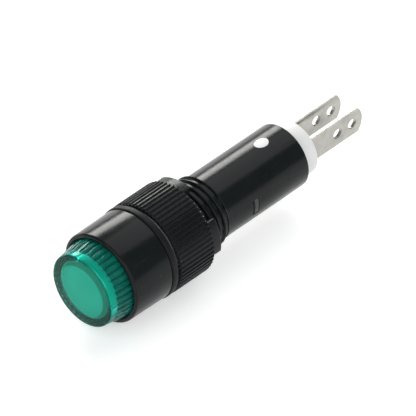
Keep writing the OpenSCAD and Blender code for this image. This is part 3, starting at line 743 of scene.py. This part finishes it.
def make_dot():
    """The white polarity dot: an oval drop of paint on top of the barrel, thin at its edge."""
    middle = (DOT_LOW.y + DOT_HIGH.y) / 2
    size = (DOT_HIGH.y - DOT_LOW.y) / 2
    # Shares of the way to the edge, each with the paint's height over the barrel in mm
    profile = [(0.0, 0.03), (0.35, 0.03), (0.6, 0.028), (0.8, 0.022), (0.92, 0.012), (1.0, -0.01),
               (1.0, -0.06), (0.0, -0.06)]
    narrowing = 0.75
    bm = bmesh.new()
    turns = spread(0, 2 * math.pi, 41)[:-1]
    rings = []
    for share, lift in profile:
        ring = []
        for turn in turns:
            wander = 1 + 0.018 * math.sin(3 * turn + 0.6) + 0.012 * math.sin(5 * turn)
            reach = share * size * wander
            angle = math.pi / 2 - narrowing * reach * math.cos(turn) / BARREL_R
            ring.append(ring_point(middle + reach * math.sin(turn), BARREL_R + lift * MM, angle))
        rings.append(ring)
    add_grid(bm, rings)
    piece_from("polarity_dot_paint", bm, dot_paint, "body", ["polarity_dot"])


def make_base():
    """The white base in the barrel's rear end, with a slot for each tab."""
    bead, edge = 0.15 * MM, 0.25 * MM
    r = BASE_HIGH.x - bead
    outline = rounded([
        (BASE_LOW.y, 0.0, 0.0), (BASE_LOW.y, r, edge), (BASE_HIGH.y, r, edge),
        (BASE_HIGH.y, 0.0, 0.0)], closed=False)
    gap, slot_front, slot_rear = 0.03 * MM, BASE_LOW.y + 0.8 * MM, BASE_HIGH.y + 1 * MM
    slots = []
    for name in ("tab_positive", "tab_negative"):
        low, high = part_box(name)
        slots.append(((low.x - gap, slot_front, low.z - gap),
                      (high.x + gap, slot_rear, high.z + gap)))
    bm = cut_away(revolved(outline, 120, closed=False), slots)
    piece_from("terminal_base_moulding", bm, white_plastic, "body",
               ["terminal_base"])


def make_tab(node_name):
    """One stamped solder tab: tinned, with a rounded tip, two wire holes and an inner neck."""
    low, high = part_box(node_name)
    shoulder = 25.25 * MM
    neck_low, neck_top = -0.25 * MM, 0.95 * MM
    tip_r, hole_r = 2.9 * MM, 0.75 * MM
    hole_places = (35.4 * MM, 38.15 * MM)
    arc_half = math.asin((high.z - low.z) / 2 / tip_r)
    arc_middle = high.y - tip_r
    outline = [Vector(p) for p in (
        (low.y, neck_low), (shoulder, neck_low), (shoulder, low.z))]
    outline += [Vector((arc_middle + tip_r * math.cos(t), tip_r * math.sin(t)))
                for t in spread(-arc_half, arc_half, 15)]
    outline += [Vector(p) for p in ((shoulder, high.z), (shoulder, neck_top), (low.y, neck_top))]
    loops = [outline]
    for middle in hole_places:
        loops.append([Vector((middle + hole_r * math.cos(t), hole_r * math.sin(t)))
                      for t in spread(0, 2 * math.pi, 33)[:-1]])
    bm = bmesh.new()
    edges = []
    for loop in loops:
        verts = [bm.verts.new((low.x, p.x, p.y)) for p in loop]
        edges += [bm.edges.new((v, verts[(i + 1) % len(verts)])) for i, v in enumerate(verts)]
    bmesh.ops.triangle_fill(bm, edges=edges, use_beauty=True)
    made = bmesh.ops.extrude_face_region(bm, geom=bm.faces[:])["geom"]
    moved = [v for v in made if isinstance(v, bmesh.types.BMVert)]
    bmesh.ops.translate(bm, vec=(high.x - low.x, 0, 0), verts=moved)
    bmesh.ops.recalc_face_normals(bm, faces=bm.faces)
    # The sharp edges that run round a face of the sheet, not those through its thickness
    rims = [e for e in bm.edges if e.calc_face_angle(0) > math.radians(60)
            and abs(e.verts[0].co.x - e.verts[1].co.x) < 0.01 * MM]
    bmesh.ops.bevel(bm, geom=rims, offset=0.045 * MM, segments=2, profile=0.5, affect="EDGES")
    piece_from(node_name + "_blade", bm, tinned_sheet, "body", [node_name])


make_housing()
make_lens()
make_diffuser()
make_gasket()
make_washer()
make_nut()
make_dot()
make_base()
make_tab("tab_positive")
make_tab("tab_negative")

# ---------------------------------------------------------------- finish of the nodes

NODE_FINISH = {
    "lens_seal": seal_rubber,
    "carrier": carrier_plastic,
    "led_capsule": led_resin,
    "led_anode_wire": tinned_wire,
    "led_cathode_wire": tinned_wire,
    "wire_sleeve": sleeve_plastic,
    "circuit_board": board_laminate,
    "resistor_body": resistor_coating,
    "resistor_wires": tinned_wire,
    "protection_diode_body": diode_resin,
    "protection_diode_wires": tinned_wire,
    "solder_joints": solder_alloy,
    # These are hidden behind the pieces that stand for them
    "housing": black_plastic,
    "lens": green_plastic,
    "diffuser": white_diffuser,
    "gasket": gasket_rubber,
    "lock_washer": plated_steel,
    "ring_nut": nut_plastic,
    "polarity_dot": dot_paint,
    "terminal_base": white_plastic,
    "tab_positive": tinned_sheet,
    "tab_negative": tinned_sheet,
}

for name, finish in NODE_FINISH.items():
    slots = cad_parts[name].data.materials
    slots.clear()
    slots.append(finish)

# ---------------------------------------------------------------- floor, light and camera

FLOOR_GAP = 0.03 * MM
FLOOR_LEVEL = -NUT_CREST_R - FLOOR_GAP


def make_floor():
    """A round white floor with a low rim. It glows for the eye, metal and glass alone."""
    material = bpy.data.materials.new("white_floor")
    material.use_nodes = True
    tree = material.node_tree
    tree.nodes.clear()
    paper = add_node(tree, "ShaderNodeBsdfDiffuse", {"Color": (0.86, 0.86, 0.86, 1)})
    spot = add_node(tree, "ShaderNodeTexCoord").outputs["Object"]
    reach = add_node(tree, "ShaderNodeVectorMath", {0: spot}, operation="LENGTH").outputs["Value"]
    # The lamps light the middle; further out the paper needs more to stay white
    strength = remap(tree, reach, 120 * MM, 600 * MM, 0.45, 0.85)
    glow = add_node(tree, "ShaderNodeEmission", {"Color": (1, 1, 1, 1), "Strength": strength})
    both = add_node(tree, "ShaderNodeAddShader", {0: paper.outputs[0], 1: glow.outputs[0]})
    path = add_node(tree, "ShaderNodeLightPath").outputs
    seen = calculate(tree, "MAXIMUM", path["Is Camera Ray"], path["Is Glossy Ray"])
    seen = calculate(tree, "MAXIMUM", seen, path["Is Transmission Ray"])
    mix = add_node(tree, "ShaderNodeMixShader", {0: seen, 1: paper.outputs[0], 2: both.outputs[0]})
    out = add_node(tree, "ShaderNodeOutputMaterial")
    tree.links.new(mix.outputs[0], out.inputs["Surface"])
    middle_r, edge_r, rim_top = 1 * MM, 1150 * MM, 65 * MM
    bm = bmesh.new()
    turns = spread(0, 2 * math.pi, 97)[:-1]
    rings = [[(r * math.cos(t), r * math.sin(t), level) for t in turns]
             for r, level in ((middle_r, FLOOR_LEVEL), (edge_r, FLOOR_LEVEL), (edge_r, rim_top))]
    add_grid(bm, rings)
    mesh = bpy.data.meshes.new("floor")
    bm.to_mesh(mesh)
    bm.free()
    mesh.materials.append(material)
    floor = bpy.data.objects.new("floor", mesh)
    bpy.context.scene.collection.objects.link(floor)


def make_world():
    """A dim even room; the floor is the whole background."""
    world = bpy.data.worlds.new("studio")
    bpy.context.scene.world = world
    world.use_nodes = True
    tree = world.node_tree
    tree.nodes.clear()
    room = add_node(tree, "ShaderNodeBackground", {"Color": (0.95, 0.98, 1.0, 1), "Strength": 0.3})
    out = add_node(tree, "ShaderNodeOutputWorld")
    tree.links.new(room.outputs[0], out.inputs["Surface"])


def add_softbox(name, direction, distance, width, height, brightness, colour=(1, 1, 1)):
    """A rectangular lamp that faces the object. Brightness is that of its face, 1 for white."""
    lamp = bpy.data.lights.new(name, "AREA")
    lamp.shape = "RECTANGLE"
    lamp.size, lamp.size_y = width, height
    lamp.energy = brightness * math.pi * width * height
    lamp.color = colour
    box = bpy.data.objects.new(name, lamp)
    box.visible_camera = False
    towards = Vector(direction).normalized()
    middle = Vector((0, 10 * MM, 0))
    box.location = middle + towards * distance
    box.rotation_mode = "QUATERNION"
    box.rotation_quaternion = towards.to_track_quat("Z", "Y")
    bpy.context.scene.collection.objects.link(box)


def make_lights():
    """A wide panel overhead, a bright box low behind on the left, soft fills in front and right."""
    add_softbox("overhead_panel", (-0.065, 0.546, 0.80), 0.52, 0.44, 0.34, 1.6)
    add_softbox("left_box", (-0.775, 0.47, 0.40), 0.50, 0.32, 0.17, 12.0, (1.0, 0.985, 0.95))
    add_softbox("front_fill", (0.15, -0.85, 0.60), 0.60, 0.60, 0.50, 1.3)
    add_softbox("right_fill", (0.85, -0.15, 0.50), 0.60, 0.50, 0.50, 1.5)


def make_camera():
    """A long lens from the front right, looking down on the pilot light as it lies on its side."""
    azimuth, elevation = math.radians(43.9), math.radians(40.7)
    back = Vector((math.sin(azimuth) * math.cos(elevation),
                   -math.cos(azimuth) * math.cos(elevation), math.sin(elevation)))
    target = Vector((0.16 * MM, 13.1 * MM, -0.13 * MM))
    camera = bpy.data.cameras.new("camera")
    camera.lens = 700
    camera.sensor_width = 36
    view_width = 53.7 * MM
    distance = camera.lens / camera.sensor_width * view_width
    camera.clip_start, camera.clip_end = 0.01, 20
    holder = bpy.data.objects.new("camera", camera)
    holder.location = target + back * distance
    holder.rotation_mode = "QUATERNION"
    holder.rotation_quaternion = back.to_track_quat("Z", "Y")
    bpy.context.scene.collection.objects.link(holder)
    bpy.context.scene.camera = holder


make_floor()
make_world()
make_lights()
make_camera()
bpy.context.scene.view_settings.view_transform = "Standard"
